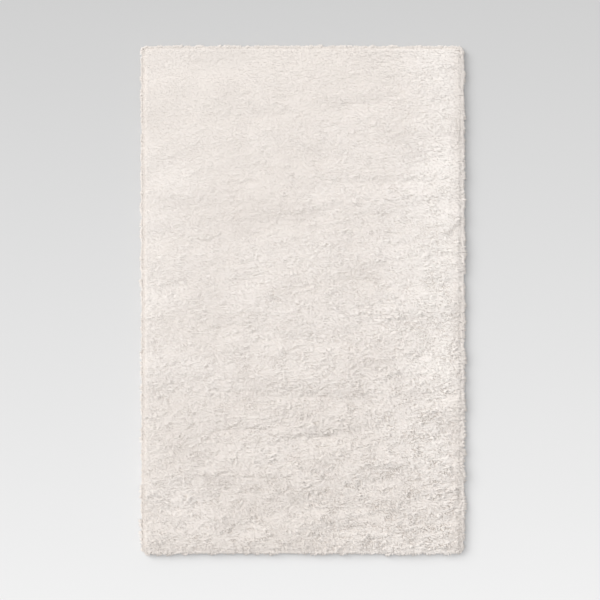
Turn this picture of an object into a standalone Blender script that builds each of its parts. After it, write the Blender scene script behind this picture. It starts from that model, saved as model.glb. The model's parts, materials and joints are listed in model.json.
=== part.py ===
"""A shag rug lying flat: a woven ground cloth, and the deep pile that is tufted into it.

The rug's width runs along X and its length along Y. The floor is the plane Z = 0, and the
origin is on that floor under the middle of the rug. All sizes are in metres.
"""

import math
import random
from collections import namedtuple

import bmesh
import bpy
from mathutils import Vector, noise

INCH = 0.0254

# Ground cloth: the woven sheet that holds the tufts, as a maker cuts it.
CLOTH_WIDTH = 60 * INCH
CLOTH_LENGTH = 96 * INCH
CLOTH_THICKNESS = 0.0025
CLOTH_CORNER = 0.030
CLOTH_CORNER_STEPS = 6

# Pile: it leans out past the cloth on every side, and its outermost locks reach furthest.
CLEARANCE = 0.0003
OVERHANG = 0.0345
LOCK_REACH = 0.012
PILE_HEIGHT = 0.043
PILE_CORNER = 0.036
ROUND_OVER = 0.022
PILE_WIDTH = CLOTH_WIDTH + 2 * (OVERHANG - LOCK_REACH)
PILE_LENGTH = CLOTH_LENGTH + 2 * (OVERHANG - LOCK_REACH)
PILE_FLOOR = CLOTH_THICKNESS + CLEARANCE

# Cells of the pile's top, and the steps that round each of its corners in plan.
CELLS_ACROSS = 30
CELLS_ALONG = 76
CORNER_STEPS = 3

# The rim's section, from the edge of the top round and down to the floor: how far each ring
# lies in from the slab's side, and its height as a share of the top's height there.
RimRing = namedtuple("RimRing", "inset height")
RIM_RINGS = (
    RimRing(inset=0.007, height=0.84),
    RimRing(inset=0.000, height=0.56),
    RimRing(inset=0.003, height=0.00),
)
CLOTH_POCKET_PLAY = 0.002  # from the cloth's edge to the foot of the rim's slanted underside

# A lock is a tapered tuft of yarn that lies out on the floor from the foot of the rim.
LOCK_WAIST_REACH = 0.55  # where the lock's waist is, as a share of its reach
LOCK_WAIST_WIDTH = 0.66  # the waist's width, as a share of the root's
LOCK_WAIST_HEIGHT = 0.58  # the waist's height, as a share of the root's
LOCK_SHORTEST = 0.55  # the shortest lock, as a share of the longest
LOCK_FULL_SHARE = 0.35  # about this share of the locks reach all the way
LOCK_SWAY = 0.004
LOCK_SEED = 8

# Swells: broad waves across the rug, which stay after it has been unrolled.
Swell = namedtuple("Swell", "pitch slant height shift")
SWELLS = (
    Swell(pitch=0.43, slant=4.0, height=0.0022, shift=0.10),
    Swell(pitch=0.27, slant=-3.0, height=0.0016, shift=0.37),
    Swell(pitch=0.17, slant=9.0, height=0.0009, shift=0.72),
)

# Partings: soft troughs where the pile falls two ways. x and y are the middle of each, slant
# is how many degrees it climbs towards +X, and sag bows its middle towards -Y.
Parting = namedtuple("Parting", "x y length slant depth sag")
PARTINGS = (
    Parting(x=+0.31, y=+0.97, length=0.34, slant=8, depth=0.008, sag=0.010),
    Parting(x=-0.22, y=+0.57, length=0.20, slant=-18, depth=0.005, sag=0.006),
    Parting(x=+0.41, y=+0.58, length=0.36, slant=2, depth=0.008, sag=0.008),
    Parting(x=+0.07, y=+0.42, length=0.18, slant=19, depth=0.009, sag=0.004),
    Parting(x=+0.56, y=+0.46, length=0.20, slant=10, depth=0.007, sag=-0.006),
    Parting(x=-0.41, y=+0.29, length=0.32, slant=-4, depth=0.007, sag=0.012),
    Parting(x=-0.34, y=+0.11, length=0.26, slant=-14, depth=0.007, sag=0.006),
    Parting(x=+0.44, y=+0.09, length=0.66, slant=-2, depth=0.011, sag=0.010),
    Parting(x=+0.08, y=-0.20, length=0.60, slant=-5, depth=0.008, sag=0.014),
    Parting(x=+0.47, y=-0.30, length=0.38, slant=19, depth=0.012, sag=0.012),
    Parting(x=+0.26, y=-0.48, length=0.96, slant=-1, depth=0.011, sag=0.012),
    Parting(x=-0.33, y=-0.63, length=0.34, slant=-3, depth=0.009, sag=0.010),
    Parting(x=+0.12, y=-0.66, length=0.40, slant=6, depth=0.012, sag=0.016),
    Parting(x=+0.44, y=-0.83, length=0.34, slant=0, depth=0.012, sag=0.008),
    Parting(x=-0.60, y=-1.01, length=0.36, slant=11, depth=0.012, sag=0.010),
    Parting(x=+0.10, y=-1.00, length=0.52, slant=-4, depth=0.009, sag=0.014),
    Parting(x=+0.22, y=-1.12, length=0.36, slant=0, depth=0.008, sag=0.006),
)
PARTING_SPREAD = 0.026  # how far from its line a trough fades out

# Lumps: tufts that have clumped, wider across the rug than along it. They are low at the
# rug's -X +Y corner, where the pile is combed flat, and full height at the opposite one.
LUMP_ACROSS = 0.17
LUMP_ALONG = 0.085
LUMP_HEIGHT = 0.012
LUMP_LEAST = 0.35

SMOOTH_BELOW = math.radians(50)
PILE_COLOUR = (0.80, 0.74, 0.69, 1.0)
CLOTH_COLOUR = (0.62, 0.55, 0.44, 1.0)


def clear_scene():
    """Remove every object, so that the rug is alone."""
    for obj in list(bpy.data.objects):
        bpy.data.objects.remove(obj, do_unlink=True)


def new_material(name, colour, roughness):
    """Return a plain fibre material."""
    material = bpy.data.materials.new(name)
    material.use_nodes = True
    shader = material.node_tree.nodes["Principled BSDF"]
    shader.inputs["Base Color"].default_value = colour
    shader.inputs["Roughness"].default_value = roughness
    shader.inputs["Metallic"].default_value = 0.0
    material.diffuse_color = colour
    return material


def new_object(name, bm, material, collection):
    """Turn a bmesh into a named object of the collection, and free the bmesh."""
    mesh = bpy.data.meshes.new(name)
    bmesh.ops.recalc_face_normals(bm, faces=bm.faces)
    bm.to_mesh(mesh)
    bm.free()
    mesh.materials.append(material)
    obj = bpy.data.objects.new(name, mesh)
    collection.objects.link(obj)
    return obj


def make_cloth(collection):
    """The ground cloth: a flat sheet on the floor with rounded corners."""
    bm = bmesh.new()
    bmesh.ops.create_cube(bm, size=1.0)
    bmesh.ops.scale(bm, vec=(CLOTH_WIDTH, CLOTH_LENGTH, CLOTH_THICKNESS), verts=bm.verts)
    bmesh.ops.translate(bm, vec=(0, 0, CLOTH_THICKNESS / 2), verts=bm.verts)
    upright = [edge for edge in bm.edges if edge.verts[0].co.xy == edge.verts[1].co.xy]
    bmesh.ops.bevel(
        bm,
        geom=upright,
        offset=CLOTH_CORNER,
        segments=CLOTH_CORNER_STEPS,
        profile=0.5,
        affect="EDGES",
    )
    material = new_material("ground_cloth", CLOTH_COLOUR, 0.95)
    return new_object("backing", bm, material, collection)


def parting_depth(parting, x, y):
    """Depth of one trough at a point: full on its line, and fading to the sides and ends."""
    slant = math.radians(parting.slant)
    right, up = x - parting.x, y - parting.y
    along = (right * math.cos(slant) + up * math.sin(slant)) / (parting.length / 2)
    across = up * math.cos(slant) - right * math.sin(slant)
    across += parting.sag * max(0.0, 1.0 - along * along)
    return parting.depth * math.exp(-(along**4) - (across / PARTING_SPREAD) ** 2)


def swell_height(swell, x, y):
    """Height of one broad wave at a point."""
    turns = (y + x * math.tan(math.radians(swell.slant))) / swell.pitch + swell.shift
    return swell.height * math.sin(math.tau * turns)


def lump_height(x, y):
    """Height of the clumped tufts at a point."""
    towards_rough = (x / PILE_WIDTH - y / PILE_LENGTH + 1.0) / 2
    share = LUMP_LEAST + (1.0 - LUMP_LEAST) * towards_rough
    return LUMP_HEIGHT * share * noise.noise(Vector((x / LUMP_ACROSS, y / LUMP_ALONG, 0.0)))


def pile_top(x, y):
    """Height above the floor of the pile's top at a point."""
    height = PILE_HEIGHT + lump_height(x, y)
    height += sum(swell_height(swell, x, y) for swell in SWELLS)
    return height - sum(parting_depth(parting, x, y) for parting in PARTINGS)


def slab_side(point):
    """The point of the slab's side, in plan, nearest to a point of the rim, and the way out."""
    core = Vector((PILE_WIDTH / 2 - PILE_CORNER, PILE_LENGTH / 2 - PILE_CORNER))
    nearest = Vector((max(-c, min(c, p)) for c, p in zip(core, point.xy)))
    out = (point.xy - nearest).normalized()
    return (nearest + out * PILE_CORNER).to_3d(), out.to_3d()


def open_edges(bm):
    return [edge for edge in bm.edges if edge.is_boundary]


def flat_top(bm):
    """The pile's top as a flat grid with rounded corners, and finer cells along its ends."""
    bmesh.ops.create_grid(bm, x_segments=CELLS_ACROSS, y_segments=CELLS_ALONG, size=0.5)
    width, length = PILE_WIDTH - 2 * ROUND_OVER, PILE_LENGTH - 2 * ROUND_OVER
    bmesh.ops.scale(bm, vec=(width, length, 1.0), verts=bm.verts)
    ends = [edge for edge in open_edges(bm) if edge.verts[0].co.y == edge.verts[1].co.y]
    bmesh.ops.subdivide_edges(bm, edges=ends, cuts=1)
    corner = Vector((width / 2, length / 2, 0.0))
    corners = [vert for vert in bm.verts if (Vector(map(abs, vert.co)) - corner).length < 1e-6]
    bmesh.ops.bevel(
        bm,
        geom=corners,
        offset=PILE_CORNER - ROUND_OVER,
        segments=CORNER_STEPS,
        profile=0.5,
        affect="VERTICES",
    )


def extrude_rim(bm, rim, out_by, height_at):
    """Grow one ring from the open rim and return the new ring's edges and its faces."""
    grown = bmesh.ops.extrude_edge_only(bm, edges=rim)["geom"]
    verts = [item for item in grown if isinstance(item, bmesh.types.BMVert)]
    edges = [item for item in grown if isinstance(item, bmesh.types.BMEdge)]
    faces = [item for item in grown if isinstance(item, bmesh.types.BMFace)]
    for vert in verts:
        vert.co += slab_side(vert.co)[1] * out_by
        vert.co.z = height_at(vert.co)
    return [edge for edge in edges if edge.is_boundary], faces


def grow_rim(bm):
    """Round the top over and down to the floor, and return the faces that carry locks."""
    rim = open_edges(bm)
    inset = ROUND_OVER
    for ring in RIM_RINGS:
        rim, side = extrude_rim(
            bm,
            rim,
            inset - ring.inset,
            lambda point, share=ring.height: share * pile_top(point.x, point.y),
        )
        inset = ring.inset
    pocket = OVERHANG - LOCK_REACH - CLOTH_POCKET_PLAY
    rim, _ = extrude_rim(bm, rim, inset - pocket, lambda point: PILE_FLOOR)
    bmesh.ops.contextual_create(bm, geom=rim)
    return side


def grow_locks(bm, roots):
    """Pull a four-sided tuft out of each root face, tapering to a tip that lies on the floor."""
    draw = random.Random(LOCK_SEED)
    for waist in bmesh.ops.extrude_discrete_faces(bm, faces=roots)["faces"]:
        root, out = slab_side(waist.calc_center_median())
        share = draw.random() * (1.0 - LOCK_SHORTEST) / (1.0 - LOCK_FULL_SHARE)
        reach = out * LOCK_REACH * min(1.0, LOCK_SHORTEST + share)
        sway = Vector((-out.y, out.x, 0.0)) * LOCK_SWAY * draw.uniform(-1.0, 1.0)
        for vert in waist.verts:
            place = root.lerp(slab_side(vert.co)[0], LOCK_WAIST_WIDTH)
            place += reach * LOCK_WAIST_REACH + sway / 2
            place.z = vert.co.z * LOCK_WAIST_HEIGHT
            vert.co = place
        tip = bmesh.ops.poke(bm, faces=[waist])["verts"][0]
        tip.co = root + reach + sway


def make_pile(collection):
    """The pile: one lumpy slab of yarn with locks all round its rim."""
    bm = bmesh.new()
    flat_top(bm)
    for vert in bm.verts:
        vert.co.z = pile_top(vert.co.x, vert.co.y)
    roots = grow_rim(bm)
    grow_locks(bm, roots)
    material = new_material("wool_pile", PILE_COLOUR, 0.9)
    pile = new_object("pile", bm, material, collection)
    pile.data.shade_smooth()
    pile.data.set_sharp_from_angle(angle=SMOOTH_BELOW)
    return pile


def main():
    clear_scene()
    rug = bpy.data.collections.new("shag_rug")
    bpy.context.scene.collection.children.link(rug)
    make_cloth(rug)
    make_pile(rug)


main()
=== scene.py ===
# %% [markdown]
# # A cream shag rug
# This lesson dresses a packed rug model. The model gives the rug's real size, the broad swells of
# its pile and the ragged line of its rim, all as one plain slab. Here the slab becomes wool: a soft
# bed, and on it some 150,000 short tufts that Geometry Nodes grow from points.
#
# The first cell loads the model. Everything later is placed by its sizes, in metres.

# %% Load the frame
import json
import math

import bmesh
import bpy
import numpy as np
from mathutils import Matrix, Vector, noise
from mathutils.bvhtree import BVHTree

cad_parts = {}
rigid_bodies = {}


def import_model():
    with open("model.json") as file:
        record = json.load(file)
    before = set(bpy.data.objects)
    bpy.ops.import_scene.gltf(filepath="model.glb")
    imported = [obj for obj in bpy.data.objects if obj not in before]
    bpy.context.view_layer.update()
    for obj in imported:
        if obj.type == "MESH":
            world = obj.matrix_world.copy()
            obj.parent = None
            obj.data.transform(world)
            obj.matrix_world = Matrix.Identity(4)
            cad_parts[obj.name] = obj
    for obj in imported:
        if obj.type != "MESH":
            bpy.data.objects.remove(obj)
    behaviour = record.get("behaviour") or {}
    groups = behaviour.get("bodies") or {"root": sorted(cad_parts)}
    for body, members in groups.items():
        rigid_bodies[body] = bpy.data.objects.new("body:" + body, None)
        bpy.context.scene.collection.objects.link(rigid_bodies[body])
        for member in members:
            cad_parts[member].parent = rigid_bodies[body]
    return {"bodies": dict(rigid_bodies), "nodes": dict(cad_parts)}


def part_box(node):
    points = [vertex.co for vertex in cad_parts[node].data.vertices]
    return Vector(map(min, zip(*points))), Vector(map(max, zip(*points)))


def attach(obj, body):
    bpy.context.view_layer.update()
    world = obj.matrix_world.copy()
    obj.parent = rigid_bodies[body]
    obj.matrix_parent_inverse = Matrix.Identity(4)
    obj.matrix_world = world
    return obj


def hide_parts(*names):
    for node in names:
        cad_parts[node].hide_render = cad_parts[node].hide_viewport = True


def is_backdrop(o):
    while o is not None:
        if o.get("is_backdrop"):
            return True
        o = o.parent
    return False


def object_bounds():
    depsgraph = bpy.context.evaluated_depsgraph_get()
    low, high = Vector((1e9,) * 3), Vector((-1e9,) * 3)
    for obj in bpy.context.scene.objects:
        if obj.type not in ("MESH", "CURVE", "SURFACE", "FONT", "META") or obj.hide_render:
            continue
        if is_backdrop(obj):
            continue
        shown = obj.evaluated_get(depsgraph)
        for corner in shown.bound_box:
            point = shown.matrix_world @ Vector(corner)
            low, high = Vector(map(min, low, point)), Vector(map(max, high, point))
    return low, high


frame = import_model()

MM = 0.001
CAD_LOW, CAD_HIGH = (np.array(corner, float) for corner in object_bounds())
CLOTH_LOW, CLOTH_HIGH = (np.array(corner, float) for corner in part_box("backing"))
RUG_HALF = (CAD_HIGH - CAD_LOW)[:2] / 2
CLOTH_HALF = (CLOTH_HIGH - CLOTH_LOW)[:2] / 2
BODY = list(frame["bodies"])[0]
print("rug", np.round(CAD_HIGH - CAD_LOW, 4), "cloth", np.round(CLOTH_HIGH - CLOTH_LOW, 4))
print("the body that everything rides on:", BODY)

# %% [markdown]
# A few small helpers save typing later on. Paint charts give sRGB colours, but Blender's sockets
# take linear numbers, so `linear` converts them. `add` makes one node of any tree, sets its
# options and links or fills its inputs. `new_material` gives a material with only its shader,
# `new_piece` an object for a mesh, and `triangles` says how heavy a mesh is.

# %% Helpers for colours, node trees and pieces
def linear(hex_colour):
    """Turn an sRGB hex colour into the linear numbers that Blender's sockets take."""
    channels = [int(hex_colour[i : i + 2], 16) / 255 for i in (1, 3, 5)]
    return [c / 12.92 if c <= 0.04045 else ((c + 0.055) / 1.055) ** 2.4 for c in channels] + [1.0]


def add(tree, kind, inputs=None, **settings):
    """Add one node. Settings are its own options; inputs are values, or sockets to link from."""
    node = tree.nodes.new(kind)
    for name, value in settings.items():
        setattr(node, name, value)
    for key, value in (inputs or {}).items():
        if isinstance(value, bpy.types.NodeSocket):
            tree.links.new(value, node.inputs[key])
        else:
            node.inputs[key].default_value = value
    return node


def new_material(name, roughness):
    """A material with only its shader and output, ready for a pattern."""
    material = bpy.data.materials.new(name)
    material.use_nodes = True
    shader = material.node_tree.nodes["Principled BSDF"]
    shader.inputs["Roughness"].default_value = roughness
    return material, material.node_tree, shader


def new_piece(name, mesh):
    """An object for this mesh, at the origin, unturned and unscaled."""
    piece = bpy.data.objects.new(name, mesh)
    bpy.context.scene.collection.objects.link(piece)
    return piece


def triangles(mesh):
    """How many triangles the mesh has, once its larger faces are split."""
    return sum(len(face.vertices) - 2 for face in mesh.polygons)


print("helpers ready; #F5EEE6 is", [round(c, 3) for c in linear("#F5EEE6")[:3]])

# %% [markdown]
# The rug was photographed from straight above on a pale sweep, with one broad soft light from the
# upper left and plenty of light from all round. Such a picture has no horizon, so a long lens
# high above the floor does it. The sweep is a little darker towards the rug's far end, which is
# painted on the floor with a ramp along Y. Its matt paint gives no highlights.

# %% Camera and floor
PHOTO_SIDE = 600
MM_PER_PIXEL = 4.925
LENS = 135.0
SENSOR = 36.0
OFF_CENTRE = (-0.0120, -0.0004)
camera_data = bpy.data.cameras.new("camera")
camera_data.lens = LENS
camera_data.sensor_width = SENSOR
camera_data.clip_end = 100.0
camera = bpy.data.objects.new("camera", camera_data)
bpy.context.scene.collection.objects.link(camera)
camera.location = (*OFF_CENTRE, PHOTO_SIDE * MM_PER_PIXEL * MM * LENS / SENSOR)
bpy.context.scene.camera = camera
bpy.context.scene.view_settings.view_transform = "Standard"

FLOOR_SIDE = 40.0
FADE_HALF = 1.5
bm = bmesh.new()
bmesh.ops.create_grid(bm, x_segments=1, y_segments=1, size=FLOOR_SIDE / 2)
floor_mesh = bpy.data.meshes.new("floor")
bm.to_mesh(floor_mesh)
bm.free()
floor = new_piece("floor", floor_mesh)
floor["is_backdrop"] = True

sweep_paint, tree, shader = new_material("matt_sweep_paint", 0.9)
place = add(tree, "ShaderNodeTexCoord").outputs["Object"]
along = add(tree, "ShaderNodeSeparateXYZ", {"Vector": place}).outputs["Y"]
fade = {"Value": along, "From Min": FADE_HALF, "From Max": -FADE_HALF}
fade = add(tree, "ShaderNodeMapRange", fade).outputs["Result"]
ramp = add(tree, "ShaderNodeValToRGB", {"Fac": fade})
ramp.color_ramp.elements[0].color = linear("#C4C4C4")
ramp.color_ramp.elements[1].color = linear("#E3E3E3")
tree.links.new(ramp.outputs["Color"], shader.inputs["Base Color"])
shader.inputs["Specular IOR Level"].default_value = 0.1
floor_mesh.materials.append(sweep_paint)
print("camera", round(camera.location.z, 3), "m up; floor", FLOOR_SIDE, "m wide")

# %% [markdown]
# A sun lamp with a very wide angle stands in for a big softbox far away: its shadows are soft, and
# it is even over the whole rug. The key lamp stands low at the upper left, so that the pile's
# relief shows. A second one nearly overhead and the pale room keep the gaps between the tufts from
# going black.

# %% Lights
ROOM_STRENGTH = 0.34
world = bpy.data.worlds.new("studio")
bpy.context.scene.world = world
world.use_nodes = True
room = world.node_tree.nodes["Background"]
room.inputs["Color"].default_value = linear("#F6F6F6")
room.inputs["Strength"].default_value = ROOM_STRENGTH


def add_lamp(name, from_place, spread, strength):
    """A far softbox: light from this side, its rays spread over this many degrees."""
    data = bpy.data.lights.new(name, "SUN")
    data.angle = math.radians(spread)
    data.energy = strength
    lamp = bpy.data.objects.new(name, data)
    lamp.location = from_place
    lamp.rotation_euler = (-Vector(from_place)).to_track_quat("-Z", "Y").to_euler()
    bpy.context.scene.collection.objects.link(lamp)


add_lamp("key", from_place=(-4.9, 3.15, 4.65), spread=40.0, strength=1.78)
add_lamp("overhead", from_place=(-0.5, 0.5, 7.0), spread=38.0, strength=1.52)
print("lamps", [lamp.name for lamp in bpy.data.lights])

# %% [markdown]
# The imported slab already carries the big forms: the broad swells and the partings where the pile
# has been combed open. To keep the wool on the same forms, its height is read from the slab by
# casting rays down onto it. `wander` is smooth noise with waves of a chosen size in metres, and
# `unruly` says how rough the pile is. On the real rug it lies smooth at one corner and becomes
# rougher towards the opposite one.

# %% Height and roughness of the pile
slab = frame["nodes"]["pile"]
slab_tree = BVHTree.FromPolygons(
    [vert.co.copy() for vert in slab.data.vertices],
    [tuple(face.vertices) for face in slab.data.polygons],
)
DOWN = Vector((0, 0, -1))
UNRULY_MIDDLE = 0.45
UNRULY_ACROSS = 0.13
UNRULY_ALONG = 0.27


def slab_height(x, y):
    """The slab's height at each point, and 0 past its edge."""
    hits = [slab_tree.ray_cast(Vector((px, py, 1.0)), DOWN)[0] for px, py in zip(x, y)]
    return np.array([hit.z if hit else 0.0 for hit in hits])


def wander(x, y, across, along, layer, slant=0.0):
    """Smooth noise from about -1 to 1. Its waves have these sizes and are turned by slant."""
    c, s = math.cos(math.radians(slant)), math.sin(math.radians(slant))
    u, v = (x * c + y * s) / across, (y * c - x * s) / along
    return np.array([noise.noise((a, b, layer)) for a, b in zip(u, v)])


def unruly(x, y):
    """How rough the pile is: least at the -X +Y corner, and most at the opposite one."""
    rough = UNRULY_MIDDLE + UNRULY_ACROSS * x / RUG_HALF[0] - UNRULY_ALONG * y / RUG_HALF[1]
    return np.clip(rough, 0.12, 1.0)


centre = slab_height([0.0], [0.0])[0]
print("pile height at the middle", round(centre / MM, 1), "mm")

# %% [markdown]
# Neighbouring tufts of a shag cling together in lumps, a few centimetres across and rather wider
# than they are long, with dark creases where two lumps meet. The absolute value of smooth noise
# has just that shape: round hills, and a sharp valley wherever the noise crosses zero. Two sizes of
# it are laid over the slab. The valleys are open in some patches and felted shut in others.

# %% Lumps and creases
BIG_LUMP = (0.056, 0.032)
SMALL_LUMP = (0.028, 0.018)
OPEN_PATCH = (0.060, 0.032)
SLANT = 8
BIG_RISE = 6 * MM
SMALL_RISE = 11 * MM
MEAN_HILL = 0.2
BIG_CREASE = 0.07
SMALL_CREASE = 0.10


def hills(x, y):
    """The big hills and the small ones, each 0 in the valleys between them."""
    big = np.abs(wander(x, y, *BIG_LUMP, 2.2, slant=SLANT))
    small = np.abs(wander(x, y, *SMALL_LUMP, 6.6, slant=SLANT))
    return big, small


def lumps(x, y):
    """The lumps' height, about 0 on the whole and most negative along the creases."""
    big, small = hills(x, y)
    return BIG_RISE * (big - MEAN_HILL) + SMALL_RISE * (small - MEAN_HILL)


def creases(x, y):
    """0 on the lumps, and up to 1 or more along a crease between two of them."""
    big, small = hills(x, y)
    return np.clip(1 - big / BIG_CREASE, 0, 1) * 0.6 + np.clip(1 - small / SMALL_CREASE, 0, 1)


def openness(x, y):
    """How far the tufts stand apart, from 0 (felted shut) to 1."""
    patch = np.clip(0.5 + 1.2 * wander(x, y, *OPEN_PATCH, 6.1, slant=SLANT), 0, 1)
    return unruly(x, y) * (0.35 + 0.65 * patch)


def pile_top(x, y):
    """Where the tips reach to: the slab's height with the lumps on it."""
    return slab_height(x, y) + openness(x, y) * lumps(x, y)


x, y = np.random.default_rng(1).uniform(-0.7, 0.7, (2, 2000))
print("lumps from", np.round(np.percentile(lumps(x, y), (5, 50, 95)) / MM, 1), "mm")

# %% [markdown]
# The bed is the wool under the tips, packed so closely that no single yarn can be told apart. It
# could be left out, but then hundreds of thousands of tufts would be needed to hide the ground
# cloth. How high it comes is worked out here. Each point also gets an amount of painted shade,
# which later darkens the bed's wool where the tufts stand apart and the eye looks deep into the
# pile, and on its turned-down side.

# %% Height and depth of the bed
BED_INSET = np.array([18 * MM, 20 * MM])
BED_HALF = RUG_HALF - BED_INSET
PILE_FLOOR = CLOTH_HIGH[2] + 0.3 * MM
TIPS_ABOVE_SHUT_BED = 2.5 * MM
MORE_ABOVE_OPEN_BED = 4 * MM
LEAST_BED = 6 * MM
EDGE_ZONE = 50 * MM


def way_out(places, half, corner):
    """The way to the nearest edge of a rounded rectangle, and how near it is (1 on the edge)."""
    past = np.maximum(np.abs(places) - (half - corner), 0) / corner
    near = np.linalg.norm(past, axis=1)
    return past * np.sign(places) / np.maximum(near, 1e-9)[:, None], near


def bed_height(x, y):
    """The bed lies close under the tips where the pile is smooth, and deeper where it is open."""
    sunk = TIPS_ABOVE_SHUT_BED + MORE_ABOVE_OPEN_BED * openness(x, y)
    return np.maximum(pile_top(x, y) - sunk, PILE_FLOOR + LEAST_BED)


def painted_bed_shade(places):
    """Painted shade for how deep the eye sees in: less beside the edge, and more again on the
    turned-down side.
    """
    near = way_out(places, BED_HALF, EDGE_ZONE)[1]
    # Past the edge it grows to its full amount within a seventh of the zone.
    side = np.clip((near - 1) * 7, 0, 1)
    return openness(*places.T) * (1 - 0.6 * np.clip(near, 0, 1)) + 0.4 * side


x, y = np.zeros((2, 1))
print("bed", np.round(2 * BED_HALF, 3), "m;", round(bed_height(x, y)[0] / MM, 1), "mm high")

# %% [markdown]
# The bed's mesh starts as one fine grid, and each of its points is lifted to its height. At the
# corners the grid's squares are bent round. The outline is then extruded row by row, down to the
# cloth and tucked in at the foot, so that the bed is a closed, padded shape.

# %% The bed of the pile
BED_CORNER = 14 * MM
BED_CELL = 11 * MM
# The turned-down side, row by row: metres out, and the share of the last row's height
BED_TURN = ((0.004, 0.965), (0.003, 0.87), (0.002, 0.65), (-0.001, 0.5), (-0.007, 0.0))


def round_corners(bm):
    """Squares become rounds: the corner cells are bent onto a quarter circle."""
    core = BED_HALF - BED_CORNER
    for vert in bm.verts:
        a, b = (max(abs(vert.co[k]) - core[k], 0) / BED_CORNER for k in (0, 1))
        if a and b:
            vert.co.x = math.copysign(core[0] + a * math.sqrt(1 - b * b / 2) * BED_CORNER, vert.co.x)
            vert.co.y = math.copysign(core[1] + b * math.sqrt(1 - a * a / 2) * BED_CORNER, vert.co.y)


def turn_down(bm):
    """Extrude the outline row by row, outwards and down, and close it at the foot."""
    rim = [edge for edge in bm.edges if edge.is_boundary]
    for out, share in BED_TURN:
        grown = bmesh.ops.extrude_edge_only(bm, edges=rim)["geom"]
        rim = [g for g in grown if isinstance(g, bmesh.types.BMEdge) and g.is_boundary]
        verts = list({vert for edge in rim for vert in edge.verts})
        ways, _ = way_out(np.array([vert.co[:2] for vert in verts]), BED_HALF, BED_CORNER)
        for vert, way in zip(verts, ways):
            vert.co.x += way[0] * out
            vert.co.y += way[1] * out
            vert.co.z = max(PILE_FLOOR, vert.co.z * share)
    bmesh.ops.contextual_create(bm, geom=rim)


def make_bed():
    """The bed's mesh, closed all round, with its painted shade kept on every point."""
    bm = bmesh.new()
    cells = [round(2 * side / BED_CELL) for side in BED_HALF]
    bmesh.ops.create_grid(bm, x_segments=cells[0], y_segments=cells[1], size=1.0)
    bmesh.ops.scale(bm, vec=(*BED_HALF, 1.0), verts=bm.verts)
    round_corners(bm)
    spots = np.array([vert.co[:2] for vert in bm.verts])
    for vert, z in zip(bm.verts, bed_height(*spots.T)):
        vert.co.z = z
    turn_down(bm)
    bmesh.ops.recalc_face_normals(bm, faces=bm.faces)
    mesh = bpy.data.meshes.new("pile_bed")
    bm.to_mesh(mesh)
    bm.free()
    mesh.shade_smooth()
    bed_shade = painted_bed_shade(np.array([vert.co[:2] for vert in mesh.vertices]))
    mesh.attributes.new("bed_shade", "FLOAT", "POINT").data.foreach_set("value", bed_shade)
    return mesh


bed_mesh = make_bed()
bed = new_piece("pile_bed", bed_mesh)
print("bed", triangles(bed_mesh), "triangles")

# %% [markdown]
# A rug is tufted in rows, so the tufts stand on a grid whose rows are shifted by half a step, each
# one a little off its place. A tuft is one curve with three points: a root in the bed, a knee
# and a tip. The tip leans the way the pile was combed, which swirls a little over the rug. Where
# the pile is rough the tufts are also tangled, each few of them another way.

# %% Where the tufts stand and how they lean
TUFT_PITCH = 5.35 * MM
TUFT_JITTER = 0.42
COMBED = (0.009, -0.004)
SWIRL = 8 * MM
SWIRL_WAVES = ((0.14, 0.09), (0.12, 0.09))
TANGLE = 17 * MM
TANGLE_WAVES = (0.014, 0.011)
draw = np.random.default_rng(3)


def tuft_grid():
    """Rows of tufts, each row shifted by half a step, and every tuft a little off its place."""
    rows = np.arange(-BED_HALF[1] + TUFT_PITCH / 2, BED_HALF[1], TUFT_PITCH)
    columns = np.arange(-BED_HALF[0] + TUFT_PITCH / 2, BED_HALF[0], TUFT_PITCH)
    x, y = np.meshgrid(columns, rows)
    x = x + (np.arange(len(rows)) % 2 - 0.5)[:, None] * TUFT_PITCH / 2
    x = x + draw.uniform(-TUFT_JITTER, TUFT_JITTER, x.shape) * TUFT_PITCH
    y = y + draw.uniform(-TUFT_JITTER, TUFT_JITTER, y.shape) * TUFT_PITCH
    places = np.stack([x.ravel(), y.ravel()], 1)
    return places[way_out(places, BED_HALF, BED_CORNER)[1] < 1]


def roughness(x, y):
    """How ruffled the tufts are: partly the place on the rug, and more so in open patches."""
    return 0.35 * unruly(x, y) + 0.75 * openness(x, y)


def combed(x, y):
    """The way the tufts lean: combed on the whole, swirling a little, and tangled where rough."""
    rough = roughness(x, y)
    across = wander(x, y, *SWIRL_WAVES[0], 1.3, slant=12)
    swirl = np.stack([across, wander(x, y, *SWIRL_WAVES[1], 7.2)], 1)
    tangle = np.stack([wander(x, y, *TANGLE_WAVES, layer) for layer in (3.8, 9.1)], 1)
    lean = np.multiply(COMBED, (2.0 - rough)[:, None])
    return lean + swirl * (SWIRL * (0.4 + rough))[:, None] + tangle * (TANGLE * rough)[:, None]


top_places = tuft_grid()
print(len(top_places), "tufts on top")

# %% [markdown]
# How pale a tuft looks depends on the colour it was dyed, on painted light and shade laid over the
# rug, and on the way its patch of pile faces. `relief` is the height that the shading follows. It
# leaves most of the slab's swells out, because long wool scatters light sideways and hides them,
# and it makes the small lumps steeper than they are.

# %% What the shading follows
SWELL_SHARE = 0.4
LUMP_SHARE = 1.6
SHOULDER = 20 * MM
SLOPE_STEP = 4 * MM
DYE_MIDDLE = 0.26
DYE_WANDER = 0.2
DYE_WAVES = (0.3, 0.2)
# painted shade along the +X edge: where it starts, as a share of the half width, and over how much it
# grows
PAINTED_SHADE_EDGE = 0.88
PAINTED_SHADE_WIDTH = 0.08


def relief(x, y):
    """The height that the shading follows. The slab's shoulder, beside its edge, is left out."""
    inner = BED_HALF - SHOULDER
    swell = slab_height(np.clip(x, -inner[0], inner[0]), np.clip(y, -inner[1], inner[1]))
    return SWELL_SHARE * swell + LUMP_SHARE * openness(x, y) * lumps(x, y)


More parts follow.
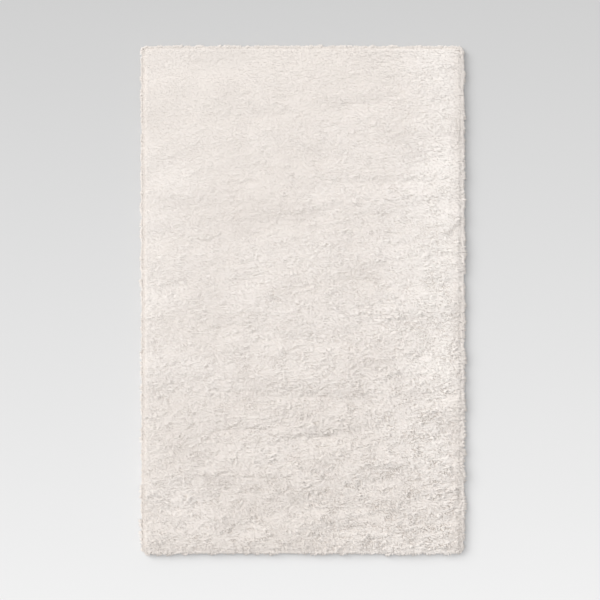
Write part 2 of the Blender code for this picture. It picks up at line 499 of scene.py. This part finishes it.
def slope(x, y):
    """The way the relief faces at each point."""
    across = relief(x - SLOPE_STEP, y) - relief(x + SLOPE_STEP, y)
    along = relief(x, y - SLOPE_STEP) - relief(x, y + SLOPE_STEP)
    faces = np.stack([across, along], 1) / (2 * SLOPE_STEP)
    faces = np.column_stack([faces, np.ones(len(x))])
    return faces / np.linalg.norm(faces, axis=1)[:, None]


def dye_and_painted_light(x, y):
    """How pale the wool is: dyed tone at random, and painted light and shade, duller at both ends and
    along +X.
    """
    across, along = x / RUG_HALF[0], y / RUG_HALF[1]
    # Painted light and shade over the rug: lighter towards +X and at both sides, darker at both ends
    painted_light_drift = 0.25 * (across**2 - 0.3) + 0.2 * across - 0.15 * np.abs(along)
    # Painted shade along the +X edge, the side that faces away from the key lamp
    painted_light_drift = painted_light_drift - 0.5 * np.clip((across - PAINTED_SHADE_EDGE) / PAINTED_SHADE_WIDTH, 0, 1)
    return DYE_MIDDLE + painted_light_drift + DYE_WANDER * wander(x, y, *DYE_WAVES, 5.5)


print("dye at the middle", round(dye_and_painted_light(np.zeros(1), np.zeros(1))[0], 2))

# %% [markdown]
# Now each tuft on top gets its numbers: where the tip goes, how it bends, its tone and its
# thickness. They are worked out with numpy, because that is shorter than nodes, and handed to the
# nodes as attributes of the points. The roots get painted shade, more where the pile is rough and
# in the creases. Open patches show more of these roots, so their tone is raised, painted light that
# keeps the rug even on the whole; in the creases it is lowered, painted shade where two lumps meet.

# %% Tufts on top
ROOT_DEPTH = 3 * MM
LEAST_RISE = 4 * MM
EDGE_LEAN = 6 * MM
EDGE_LEAN_ZONE = 30 * MM
STRAY_LEAN = 2.4 * MM
STRAY_HEIGHT = 1.0 * MM
x, y = top_places.T
rough = roughness(x, y)
outwards, edge_near = way_out(top_places, BED_HALF, EDGE_LEAN_ZONE)
lean = combed(x, y) + outwards * (EDGE_LEAN * edge_near**3)[:, None]
lean += draw.normal(0, STRAY_LEAN, lean.shape) * (0.3 + rough)[:, None] * (1.3, 0.9)

root_z = bed_height(x, y) - ROOT_DEPTH
tip_z = pile_top(x + lean[:, 0] * 0.4, y + lean[:, 1] * 0.4)
tip_z += draw.normal(0, STRAY_HEIGHT, len(x)) * (0.1 + rough)
rise = np.maximum(tip_z - root_z, LEAST_RISE)
# Painted shade in the creases between lumps, more where the pile is open
crease = creases(x, y) * openness(x, y)
tone = dye_and_painted_light(x, y) + 0.10 * draw.normal(0, 1, len(x)) * (0.4 + 0.6 * rough)
# Painted light where open patches show more of their shaded roots; painted shade in the creases
tone += 0.5 * (rough - 0.84 * unruly(x, y)) - 0.35 * crease
top_tufts = {
    "root": np.column_stack([x, y, root_z]),
    "reach": np.column_stack([lean, rise]),
    "knee": np.column_stack([lean * 0.25, rise * 1.4 + 1 * MM]),
    "facing": slope(x, y),
    "tone": np.clip(tone, 0.02, 0.98),
    "girth": draw.uniform(0.85, 1.15, len(x)) * (0.9 + 0.1 * rough),
    "fluff": 3.7 - 2.4 * rough,
    # painted shade towards the roots: more where the pile is rough and in the creases
    "shade": np.clip(0.08 + 0.46 * rough + 0.5 * crease, 0, 1.2),
}
print("the tufts rise", np.round(np.percentile(rise, (5, 50, 95)) / MM, 1), "mm")

# %% [markdown]
# Round the rug the tufts fan out over the edge, from nearly upright at the top to level at the
# floor. They stand in rows on the turned-down side of the bed. A rounded rectangle gives the
# places in each row, and the way out at each of them.

# %% Rows of tufts round the rim
RIM_PITCH = 4.6 * MM
RIM_ROWS = (
    # root: metres out, share of the pile's height; tip: metres out, share of the pile's height;
    # how far the tuft leans outwards instead of the way the pile is combed
    (-0.003, 0.83, 0.0080, 0.98, 0.30),
    (0.001, 0.83, 0.0135, 0.96, 0.40),
    (0.004, 0.81, 0.0180, 0.92, 0.50),
    (0.007, 0.77, 0.0200, 0.85, 0.65),
    (0.009, 0.71, 0.0205, 0.74, 0.80),
    (0.010, 0.63, 0.0215, 0.61, 1.00),
    (0.010, 0.53, 0.0215, 0.49, 1.00),
    (0.010, 0.43, 0.0210, 0.37, 1.00),
    (0.010, 0.33, 0.0205, 0.25, 1.00),
    (0.008, 0.23, 0.0200, 0.15, 1.00),
    (0.005, 0.13, 0.0190, 0.04, 1.00),
)


def rim_path(half, corner, pitch):
    """Places along a rounded rectangle, the way out at each, and how far along the line it is."""
    turn = np.radians(np.arange(0.0, 360.0, 3.0) + 1.5)
    ways = np.stack([np.cos(turn), np.sin(turn)], 1)
    line = np.sign(ways) * (half - corner) + ways * corner
    line, ways = np.vstack([line, line[:1]]), np.vstack([ways, ways[:1]])
    run = np.concatenate([[0], np.cumsum(np.linalg.norm(np.diff(line, axis=0), axis=1))])
    count = int(run[-1] / pitch)
    at = (np.arange(count) + draw.uniform(-0.45, 0.45, count)) % count * run[-1] / count
    places = np.stack([np.interp(at, run, line[:, k]) for k in (0, 1)], 1)
    ways = np.stack([np.interp(at, run, ways[:, k]) for k in (0, 1)], 1)
    return places, ways / np.linalg.norm(ways, axis=1)[:, None], at


print(len(RIM_ROWS), "rows,", RIM_PITCH / MM, "mm from tuft to tuft")

# %% [markdown]
# A frayed rim is not a fringe of equal yarns: a few tufts cling together in a lock, the next lock
# is longer or shorter, and notches open between them. So the rim is cut into locks of uneven
# width, and each tuft takes its lock's length and turns towards its middle. Where the pile is
# combed away from the rug, at the right and at the near side, the tufts go straight out; at the
# other two they mostly follow the comb. The right side bows out a little, as on the real rug.

# %% Locks and the lie of the rim
LOCK_WIDTH = (6 * MM, 32 * MM)
LOCK_COUNT = 500  # enough to go all the way round
LOCK_LENGTH = 6.5 * MM
LOCK_PULL = 0.55
LOCK_PULL_FROM = 12 * MM
OUTLINE_WANDER = 5 * MM
OUTLINE_WAVES = (0.04, 0.04)
STRAY_ASIDE = 3 * MM
STRAY_LENGTH = 3.5 * MM
SHORTER_BY = 2 * MM
SHORTEST_BY = 8 * MM
RIGHT_BOW = 5 * MM
lock_at = np.cumsum(draw.uniform(*LOCK_WIDTH, LOCK_COUNT))
lock_long = draw.normal(0, 1, LOCK_COUNT)


def fray(places, at, ragged):
    """How far each tuft turns aside, and how much longer or shorter than its row it is."""
    lock = np.argmin(np.abs(lock_at[:, None] - at), axis=0)
    aside = np.clip(lock_at[lock] - at, -LOCK_PULL_FROM, LOCK_PULL_FROM) * LOCK_PULL * ragged
    aside = aside + draw.normal(0, STRAY_ASIDE, len(at))
    wandering = OUTLINE_WANDER * wander(*places.T, *OUTLINE_WAVES, 7.7)
    longer = LOCK_LENGTH * lock_long[lock] + wandering
    # A tuft that turns aside reaches less far out.
    longer = longer + draw.normal(0, STRAY_LENGTH, len(at)) - 25 * np.abs(aside) ** 1.5
    return aside, np.maximum(longer * ragged - SHORTER_BY, -SHORTEST_BY)


def bow(places, ways):
    """How far the right side bows out: most at its middle, and nothing at its ends."""
    return RIGHT_BOW * (ways[:, 0] > 0.7) * (1 - (places[:, 1] / RUG_HALF[1]) ** 2)


def straight_out(ways, outward):
    """How much a tuft leans straight out: as its row does, or more where the comb goes out too."""
    along_comb = np.clip(0.5 + 0.7 * ways @ COMBED / np.linalg.norm(COMBED), 0, 1)
    return outward + (1 - outward) * along_comb


print("locks of", np.round(np.array(LOCK_WIDTH) / MM), "mm, all of them", round(lock_at[-1], 2), "m")

# %% [markdown]
# The rim has a lit side and a dark one. Towards the lamp it slopes more, so its low tufts reach
# further than its high ones. There the high ones get painted shade, a lower tone and darker roots,
# or they would show as a bright line, and the low ones painted light. On the dark side all of them
# get a little painted shade. The nodes get the same numbers for each tuft as on top.

# %% Tufts round the rim
LIT_WAY = (-0.7, 0.5)
DARK_WAY = (0.7, -0.7)
LIT_SLOPE = 8 * MM
STRAY_TIP = 1.5 * MM
LEAST_TIP = 3.5 * MM
rim_rows = []
for root_out, root_share, tip_out, tip_share, outward in RIM_ROWS:
    places, ways, at = rim_path(BED_HALF + root_out, BED_CORNER + root_out, RIM_PITCH)
    count = len(places)
    wild = unruly(*places.T)
    aside, longer = fray(places, at, 0.3 + 0.9 * wild)
    lit = np.clip(0.3 + ways @ LIT_WAY, 0, 1)
    unlit = np.clip(ways @ DARK_WAY, 0, 1)
    far = tip_out - root_out + longer + bow(places, ways) + lit * (0.4 - tip_share) * LIT_SLOPE
    outward = straight_out(ways, outward)
    step = ways * (far * outward)[:, None] + np.stack([-ways[:, 1], ways[:, 0]], 1) * aside[:, None]
    step = step + combed(*places.T) * (1 - outward)[:, None]
    top = pile_top(*(places - ways * (root_out + 4 * MM)).T)
    level = top * root_share * draw.uniform(0.94, 1.06, count)
    rise = np.maximum(top * tip_share + draw.normal(0, STRAY_TIP, count), LEAST_TIP) - level
    facing = np.column_stack([ways * 0.5 * (1.0 - tip_share), np.full(count, 1.0)])
    tone = dye_and_painted_light(*places.T) + 0.06 * draw.normal(0, 1, count)
    # Painted shade on the dark side and on the lit side's high tufts, painted light on its low ones
    tone = tone - 0.15 * unlit - (1.2 * tip_share - 0.5) * lit
    rim_rows.append(
        {
            "root": np.column_stack([places - ways * 2 * MM, level]),
            "reach": np.column_stack([step, rise]),
            "knee": np.column_stack([step * 0.5, rise * 0.6 + 4 * MM]),
            "facing": facing / np.linalg.norm(facing, axis=1)[:, None],
            "tone": np.clip(tone, 0.02, 0.98),
            "girth": draw.uniform(0.85, 1.15, count),
            "fluff": 3.2 - 1.9 * wild,
            # painted shade towards the roots, more on the lit side's high tufts
            "shade": 0.05 + 0.15 * wild + 0.4 * tip_share * lit,
        }
    )
rim_tufts = {key: np.concatenate([row[key] for row in rim_rows]) for key in rim_rows[0]}
print(len(rim_tufts["tone"]), "tufts round the rim")

# %% [markdown]
# One tree of nodes grows every tuft. Each starts as a very coarse ball, with three sides and one
# ring between its two poles: a closed spindle of only six triangles, because there are 150,000 of
# them. It stands for one twisted yarn, whose plies and hairs are too fine to be drawn. Its corners
# note how far along it and how far round it they are. Then it is pressed flat, set on each point,
# turned square to the tuft's reach and made real.

# %% The spindle and its copies
YARN_INPUTS = {
    # name: (kind of socket, value)
    "Yarn Radius": ("NodeSocketFloat", 3.5 * MM),
    "Sides": ("NodeSocketInt", 3),
    "Rings": ("NodeSocketInt", 2),
    "Fuzz": ("NodeSocketFloat", 1.0),
    "Strip": ("NodeSocketFloat", 0.012),
    "Material": ("NodeSocketMaterial", None),
}
TWIST = 97.0  # radians for a tone of 1


def flat_spindle(tree, start):
    """A ball with its place along and around kept on its corners, pressed flat."""
    ball = {"Segments": start["Sides"], "Rings": start["Rings"], "Radius": 1.0}
    ball = add(tree, "GeometryNodeMeshUVSphere", ball).outputs["Mesh"]
    position = add(tree, "GeometryNodeInputPosition").outputs[0]
    spot = add(tree, "ShaderNodeSeparateXYZ", {0: position}).outputs
    along = {0: spot["Z"], 1: 0.5, 2: 0.5}
    along = add(tree, "ShaderNodeMath", along, operation="MULTIPLY_ADD").outputs[0]
    turn = add(tree, "ShaderNodeMath", {0: spot["Y"], 1: spot["X"]}, operation="ARCTAN2").outputs[0]
    around = {0: turn, 1: 0.5 / math.pi, 2: 0.5}
    around = add(tree, "ShaderNodeMath", around, operation="MULTIPLY_ADD").outputs[0]
    for name, value in (("along", along), ("around", around)):
        kept = {"Geometry": ball, "Name": name, "Value": value}
        kept = add(tree, "GeometryNodeStoreNamedAttribute", kept, data_type="FLOAT", domain="POINT")
        ball = kept.outputs[0]
    radius = {0: start["Yarn Radius"], 1: start["Yarn Radius"]}
    radius = add(tree, "ShaderNodeCombineXYZ", radius).outputs[0]
    wide = {0: position, 1: radius}
    wide = add(tree, "ShaderNodeVectorMath", wide, operation="MULTIPLY").outputs[0]
    return add(tree, "GeometryNodeSetPosition", {"Geometry": ball, "Position": wide}).outputs[0]


def copies_on_points(tree, start, given, spindle):
    """One spindle on every point, square to its reach. Its tone turns it, which looks random."""
    angle = add(tree, "ShaderNodeMath", {0: given["tone"], 1: TWIST}, operation="MULTIPLY").outputs[0]
    twist = {"Axis": (0.0, 0.0, 1.0), "Angle": angle}
    twist = add(tree, "FunctionNodeAxisAngleToRotation", twist).outputs[0]
    stand = {"Rotation": twist, "Vector": given["reach"]}
    stand = add(tree, "FunctionNodeAlignRotationToVector", stand, axis="Z").outputs[0]
    copies = {
        "Points": start["Geometry"],
        "Instance": spindle,
        "Rotation": stand,
        "Scale": given["girth"],
    }
    copies = add(tree, "GeometryNodeInstanceOnPoints", copies).outputs[0]
    return add(tree, "GeometryNodeRealizeInstances", {"Geometry": copies}).outputs[0]


print("named inputs of the tree:", list(YARN_INPUTS))

# %% [markdown]
# Now every corner is moved by how far along the tuft it sits. The bend has a knee: for the share t
# of the way along, the place is 2t(1-t) of the knee plus t squared of the reach. A flat map for
# colour is written too, with tone across and the way along up, squeezed towards the tip where the
# pile is smooth. Up it the yarn's ramp paints shade towards the roots, so less painted shade falls
# where the map is squeezed. Fuzz on real wool yarn blurs its outline, and no tuft is shaded as a
# crisp tube. So last the shading is turned towards the way that the pile faces.

# %% The bend, the colour map and the fuzz
def bend(tree, given, spindles):
    """Move each corner along a curve from the root over the knee to the tip."""
    t = given["along"]
    left = add(tree, "ShaderNodeMath", {0: 1.0, 1: t}, operation="SUBTRACT").outputs[0]
    half = add(tree, "ShaderNodeMath", {0: t, 1: left}, operation="MULTIPLY").outputs[0]
    knee = add(tree, "ShaderNodeMath", {0: half, 1: 2.0}, operation="MULTIPLY").outputs[0]
    knee = {0: given["knee"], "Scale": knee}
    knee = add(tree, "ShaderNodeVectorMath", knee, operation="SCALE").outputs[0]
    tip = add(tree, "ShaderNodeMath", {0: t, 1: t}, operation="MULTIPLY").outputs[0]
    tip = {0: given["reach"], "Scale": tip}
    tip = add(tree, "ShaderNodeVectorMath", tip, operation="SCALE").outputs[0]
    shift = add(tree, "ShaderNodeVectorMath", {0: knee, 1: tip}, operation="ADD").outputs[0]
    return add(tree, "GeometryNodeSetPosition", {"Geometry": spindles, "Offset": shift}).outputs[0]


def map_colour(tree, start, given, tufts):
    """The flat map: tone across, with a narrow strip for each tuft, and root to tip up, for painted
    root shade.
    """
    u = {0: given["around"], 1: start["Strip"], 2: given["tone"]}
    u = add(tree, "ShaderNodeMath", u, operation="MULTIPLY_ADD").outputs[0]
    left = add(tree, "ShaderNodeMath", {0: 1.0, 1: given["along"]}, operation="SUBTRACT").outputs[0]
    left = add(tree, "ShaderNodeMath", {0: left, 1: given["shade"]}, operation="MULTIPLY").outputs[0]
    v = add(tree, "ShaderNodeMath", {0: 1.0, 1: left}, operation="SUBTRACT").outputs[0]
    spot = add(tree, "ShaderNodeCombineXYZ", {"X": u, "Y": v}).outputs[0]
    kept = {"Geometry": tufts, "Name": "OFBake", "Value": spot}
    kept = add(tree, "GeometryNodeStoreNamedAttribute", kept, data_type="FLOAT2", domain="CORNER")
    return kept.outputs[0]


def soften(tree, start, given, tufts):
    """Lean each normal towards the pile's, but not on the faces that look away from it."""
    tufts = add(tree, "GeometryNodeSetShadeSmooth", {"Geometry": tufts}).outputs[0]
    own = add(tree, "GeometryNodeInputNormal").outputs["Normal"]
    agree = {0: own, 1: given["facing"]}
    agree = add(tree, "ShaderNodeVectorMath", agree, operation="DOT_PRODUCT").outputs["Value"]
    agree = {"Value": agree, "From Min": -0.5, "From Max": 0.2}
    agree = add(tree, "ShaderNodeMapRange", agree).outputs[0]
    fuzz = {0: start["Fuzz"], 1: given["fluff"]}
    fuzz = add(tree, "ShaderNodeMath", fuzz, operation="MULTIPLY").outputs[0]
    share = add(tree, "ShaderNodeMath", {0: agree, 1: fuzz}, operation="MULTIPLY").outputs[0]
    pull = {0: given["facing"], "Scale": share}
    pull = add(tree, "ShaderNodeVectorMath", pull, operation="SCALE").outputs[0]
    soft = add(tree, "ShaderNodeVectorMath", {0: own, 1: pull}, operation="ADD").outputs[0]
    soft = add(tree, "ShaderNodeVectorMath", {0: soft}, operation="NORMALIZE").outputs[0]
    kept = {"Geometry": tufts, "Name": "soft_normal", "Value": soft}
    vector = {"data_type": "FLOAT_VECTOR", "domain": "POINT"}
    return add(tree, "GeometryNodeStoreNamedAttribute", kept, **vector).outputs[0]


print("parts of the tree ready")

# %% [markdown]
# The parts become one tree, with named inputs for its sizes, so that the same tree could grow
# another pile. It reads what each point was given and what the spindle's corners noted, and ends
# in plain geometry with the yarn's material.

# %% The whole tree
GIVEN = {"FLOAT": ("tone", "girth", "fluff", "shade"), "FLOAT_VECTOR": ("reach", "knee", "facing")}
NOTED = {"FLOAT": ("along", "around")}


def yarn_tree():
    """Build the tree from its parts."""
    tree = bpy.data.node_groups.new("grow_yarn", "GeometryNodeTree")
    face = tree.interface
    face.new_socket("Geometry", in_out="INPUT", socket_type="NodeSocketGeometry")
    for name, (kind, value) in YARN_INPUTS.items():
        socket = face.new_socket(name, in_out="INPUT", socket_type=kind)
        if value is not None:
            socket.default_value = value
    face.new_socket("Geometry", in_out="OUTPUT", socket_type="NodeSocketGeometry")
    start = add(tree, "NodeGroupInput").outputs
    given = {}
    for kind, names in (*GIVEN.items(), *NOTED.items()):
        for name in names:
            node = add(tree, "GeometryNodeInputNamedAttribute", {"Name": name}, data_type=kind)
            given[name] = node.outputs[0]
    tufts = copies_on_points(tree, start, given, flat_spindle(tree, start))
    tufts = bend(tree, given, tufts)
    tufts = map_colour(tree, start, given, tufts)
    tufts = soften(tree, start, given, tufts)
    last = add(tree, "GeometryNodeRealizeInstances", {"Geometry": tufts}).outputs[0]
    finish = {"Geometry": last, "Material": start["Material"]}
    finish = add(tree, "GeometryNodeSetMaterial", finish).outputs[0]
    add(tree, "NodeGroupOutput", {"Geometry": finish})
    return tree


YARN = yarn_tree()
print("yarn tree:", len(YARN.nodes), "nodes")

# %% [markdown]
# Cream wool is nearly white, and light scatters in it until the gaps are almost as pale as the
# tips. So the yarn's colour is high, and lower only towards the roots, where it is painted shade
# for the shadow deep in the pile. Its tone runs from ivory to a warm white, with a touch of pink,
# because no two skeins are coloured alike. It has hardly any shine but some sheen, which brightens
# fibres that are seen at a grazing angle.

# %% Yarn material
YARN_TONES = {0.0: "#E7E0DA", 0.3: "#EDE7E2", 0.6: "#F2EDE8", 0.85: "#F6F1ED", 1.0: "#F8F4F1"}
# painted shade from the roots up to the tips
ROOT_SHADE_TONES = {0.0: "#CCC7C3", 0.45: "#E9E5E1", 0.85: "#FFFFFF"}


def fill_ramp(ramp, tones):
    """Give a new ramp these colours at these positions, the first and last on its own ends."""
    ends = ramp.color_ramp.elements[0], ramp.color_ramp.elements[1]
    places = list(tones)
    for end, position in zip(ends, (places[0], places[-1])):
        end.position = position
        end.color = linear(tones[position])
    for position in places[1:-1]:
        ramp.color_ramp.elements.new(position).color = linear(tones[position])


wool, tree, shader = new_material("cream_wool_yarn", 0.85)
flat_map = add(tree, "ShaderNodeUVMap", uv_map="OFBake").outputs[0]
spot = add(tree, "ShaderNodeSeparateXYZ", {"Vector": flat_map})
tones = add(tree, "ShaderNodeValToRGB", {"Fac": spot.outputs["X"]})
fill_ramp(tones, YARN_TONES)
roots = add(tree, "ShaderNodeValToRGB", {"Fac": spot.outputs["Y"]})
fill_ramp(roots, ROOT_SHADE_TONES)
both = {"Factor": 1.0, 6: tones.outputs["Color"], 7: roots.outputs["Color"]}
both = add(tree, "ShaderNodeMix", both, data_type="RGBA", blend_type="MULTIPLY")
tree.links.new(both.outputs[2], shader.inputs["Base Color"])
shader.inputs["Specular IOR Level"].default_value = 0.15
shader.inputs["Sheen Weight"].default_value = 0.25
print("wool from", YARN_TONES[0.0], "to", YARN_TONES[1.0])

# %% [markdown]
# The bed has the same wool, seen between the tips. Its fibres show as a fine mottle, about as
# wide as one yarn, in the colour and in a bump. Where the tufts stand apart the eye looks deep
# into the pile, so there the bed is painted darker: painted shade for the shadow down among the
# tufts. How far they stand apart sets the amount that the mesh carries.

# %% Bed material
MOTTLE = 9 * MM
SHUT_BED = {0.3: "#E9E2DB", 0.7: "#EFE9E4"}
# painted shade: the bed's wool as dark as it looks deep among open tufts
OPEN_BED_SHADE = {0.3: "#B7ADA5", 0.7: "#D5CCC5"}
bed_wool, tree, shader = new_material("packed_wool_fibre", 0.95)
place = add(tree, "ShaderNodeTexCoord").outputs["Object"]
mottle = {"Vector": place, "Scale": 1 / MOTTLE, "Detail": 3.0}
mottle = add(tree, "ShaderNodeTexNoise", mottle).outputs["Fac"]
paints = []
for colours in (SHUT_BED, OPEN_BED_SHADE):
    ramp = add(tree, "ShaderNodeValToRGB", {"Fac": mottle})
    fill_ramp(ramp, colours)
    paints.append(ramp.outputs["Color"])
bed_shade = add(tree, "ShaderNodeAttribute", attribute_name="bed_shade").outputs["Fac"]
bed_shade = {"Value": bed_shade, "From Min": 0.05, "From Max": 0.8}
bed_shade = add(tree, "ShaderNodeMapRange", bed_shade).outputs[0]
paint = {"Factor": bed_shade, 6: paints[0], 7: paints[1]}
paint = add(tree, "ShaderNodeMix", paint, data_type="RGBA").outputs[2]
tree.links.new(paint, shader.inputs["Base Color"])
fibres = {"Height": mottle, "Distance": 2 * MM, "Strength": 0.4}
tree.links.new(add(tree, "ShaderNodeBump", fibres).outputs[0], shader.inputs["Normal"])
shader.inputs["Specular IOR Level"].default_value = 0.1
bed_mesh.materials.append(bed_wool)
print("mottle", round(MOTTLE / MM), "mm")

# %% [markdown]
# The pile is grown in bands across the rug, so that no single piece grows too heavy. For each
# band the points and their attributes become a small mesh, the tree runs on it as a modifier, and
# the result is kept as a plain mesh. The soft normals that the tree worked out become its own.

# %% Grow the pile
BANDS = 5


def points_with(name, tufts):
    """A mesh of bare points at the roots, which carry all that the tree reads."""
    points = bpy.data.meshes.new(name + "_points")
    points.from_pydata(tufts["root"], [], [])
    for key in GIVEN["FLOAT_VECTOR"]:
        store = points.attributes.new(key, "FLOAT_VECTOR", "POINT")
        store.data.foreach_set("vector", tufts[key].ravel())
    for key in GIVEN["FLOAT"]:
        points.attributes.new(key, "FLOAT", "POINT").data.foreach_set("value", tufts[key])
    return points


def grow(name, tufts):
    """Grow yarn from these points and return it as a plain piece."""
    holder = new_piece(name + "_points", points_with(name, tufts))
    modifier = holder.modifiers.new("grow", "NODES")
    modifier.node_group = YARN
    sockets = {s.name: s.identifier for s in YARN.interface.items_tree if s.in_out == "INPUT"}
    modifier[sockets["Material"]] = wool
    bpy.context.view_layer.update()
    evaluated = holder.evaluated_get(bpy.context.evaluated_depsgraph_get())
    mesh = bpy.data.meshes.new_from_object(evaluated)
    mesh.name = name
    soft = np.empty(len(mesh.vertices) * 3, np.float32)
    mesh.attributes["soft_normal"].data.foreach_get("vector", soft)
    mesh.normals_split_custom_set_from_vertices(soft.reshape(-1, 3).tolist())
    for key in (*GIVEN["FLOAT"], *GIVEN["FLOAT_VECTOR"], *NOTED["FLOAT"], "soft_normal"):
        if key in mesh.attributes:
            mesh.attributes.remove(mesh.attributes[key])
    bpy.data.objects.remove(holder)
    print(name, triangles(mesh), "triangles")
    return new_piece(name, mesh)


edges = np.quantile(top_tufts["root"][:, 1], np.linspace(0, 1, BANDS + 1))
band = np.clip(np.searchsorted(edges, top_tufts["root"][:, 1], side="right") - 1, 0, BANDS - 1)
yarn = [
    grow(f"pile_band_{n + 1}", {key: values[band == n] for key, values in top_tufts.items()})
    for n in range(BANDS)
]
yarn.append(grow("pile_rim", rim_tufts))
print("pile and bed", sum(triangles(piece.data) for piece in [bed, *yarn]), "triangles")

# %% [markdown]
# The tufts are sewn through a woven ground cloth, which shows only from below. It is one flat
# sheet with rounded corners. Its cut edge is softened above and below, because a cloth that has
# been sewn through has no sharp edge left.

# %% Ground cloth
CLOTH_CORNER = 30 * MM
CLOTH_SOFTEN = 0.8 * MM
CLOTH_TURN = 12


def make_cloth():
    """The cloth's mesh: four rings of points, closed above and below by one face each."""
    bm = bmesh.new()
    thick = CLOTH_HIGH[2]
    quarter = [math.radians(90 * (step + 0.5) / CLOTH_TURN) for step in range(CLOTH_TURN)]
    angles = [k * math.pi / 2 + a for k in range(4) for a in quarter]
    core = CLOTH_HALF - CLOTH_CORNER
    levels = (
        # metres inwards, height
        (CLOTH_SOFTEN, 0.0),
        (0.0, CLOTH_SOFTEN),
        (0.0, thick - CLOTH_SOFTEN),
        (CLOTH_SOFTEN, thick),
    )
    rings = []
    for inward, z in levels:
        reach = CLOTH_CORNER - inward
        ring = []
        for angle in angles:
            a, b = math.cos(angle), math.sin(angle)
            across = math.copysign(core[0], a) + a * reach
            along = math.copysign(core[1], b) + b * reach
            ring.append(bm.verts.new((across, along, z)))
        rings.append(ring)
    for lower, upper in zip(rings, rings[1:]):
        for k in range(len(lower)):
            bm.faces.new((lower[k - 1], lower[k], upper[k], upper[k - 1]))
    bm.faces.new(rings[0][::-1])
    bm.faces.new(rings[-1])
    mesh = bpy.data.meshes.new("ground_cloth")
    bm.to_mesh(mesh)
    bm.free()
    return mesh


cloth_mesh = make_cloth()
cloth = new_piece("ground_cloth", cloth_mesh)
print("cloth", triangles(cloth_mesh), "triangles")
print("in all", sum(triangles(piece.data) for piece in [cloth, bed, *yarn]), "triangles")

# %% [markdown]
# Ground cloth is plain-woven jute: tan, matt and hairy, with threads of uneven thickness. In a
# plain weave each thread goes over one and under the next. A checker pattern says which of the
# two shows, a half wave rounds each thread, in the bump and as painted shade towards its edges,
# and slow noise makes some threads darker.

# %% Ground cloth material
# Real threads lie about 2 mm apart. They are drawn coarser, so that the weave shows at all.
CLOTH_THREAD = 3.5 * MM
SLUB = 25 * MM
WEAVE_SHARE = 0.55
JUTE_TONES = {0.35: "#8F7C60", 11 / 12: "#CBB894"}
jute, tree, shader = new_material("woven_jute_cloth", 0.95)
place = add(tree, "ShaderNodeTexCoord").outputs["Object"]
threads = {0: place, "Scale": 1 / CLOTH_THREAD}
threads = add(tree, "ShaderNodeVectorMath", threads, operation="SCALE").outputs[0]
share = add(tree, "ShaderNodeSeparateXYZ", {"Vector": threads})
waves = []
for axis in "XY":
    turns = {0: share.outputs[axis], 1: math.pi}
    turns = add(tree, "ShaderNodeMath", turns, operation="MULTIPLY").outputs[0]
    wave = add(tree, "ShaderNodeMath", {0: turns}, operation="SINE").outputs[0]
    waves.append(add(tree, "ShaderNodeMath", {0: wave}, operation="ABSOLUTE").outputs[0])
lift = {0: threads, 1: (0.0, 0.0, 0.5)}
lift = add(tree, "ShaderNodeVectorMath", lift, operation="ADD").outputs[0]
which = add(tree, "ShaderNodeTexChecker", {"Vector": lift, "Scale": 1.0}).outputs["Fac"]
weave = add(tree, "ShaderNodeMix", {"Factor": which, 2: waves[0], 3: waves[1]}).outputs[0]
slub = {"Vector": place, "Scale": 1 / SLUB, "Detail": 4.0}
slub = add(tree, "ShaderNodeTexNoise", slub).outputs["Fac"]
# painted shade towards each thread's edges, and the slubs' own darker threads
shade = {0: weave, 1: WEAVE_SHARE, 2: slub}
shade = add(tree, "ShaderNodeMath", shade, operation="MULTIPLY_ADD").outputs[0]
ramp = add(tree, "ShaderNodeValToRGB", {"Fac": shade})
fill_ramp(ramp, JUTE_TONES)
tree.links.new(ramp.outputs["Color"], shader.inputs["Base Color"])
ridges = {"Height": weave, "Distance": 0.6 * MM, "Strength": 0.8}
tree.links.new(add(tree, "ShaderNodeBump", ridges).outputs[0], shader.inputs["Normal"])
shader.inputs["Specular IOR Level"].default_value = 0.2
cloth_mesh.materials.append(jute)
print("threads", CLOTH_THREAD / MM, "mm apart")

# %% [markdown]
# Last, every piece is put on the rug's one body, and the plain slab and cloth that the pieces stand
# for are hidden.

# %% Hand over
for piece in [bed, *yarn]:
    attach(piece, BODY)
    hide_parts("pile")
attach(cloth, BODY)
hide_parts("backing")
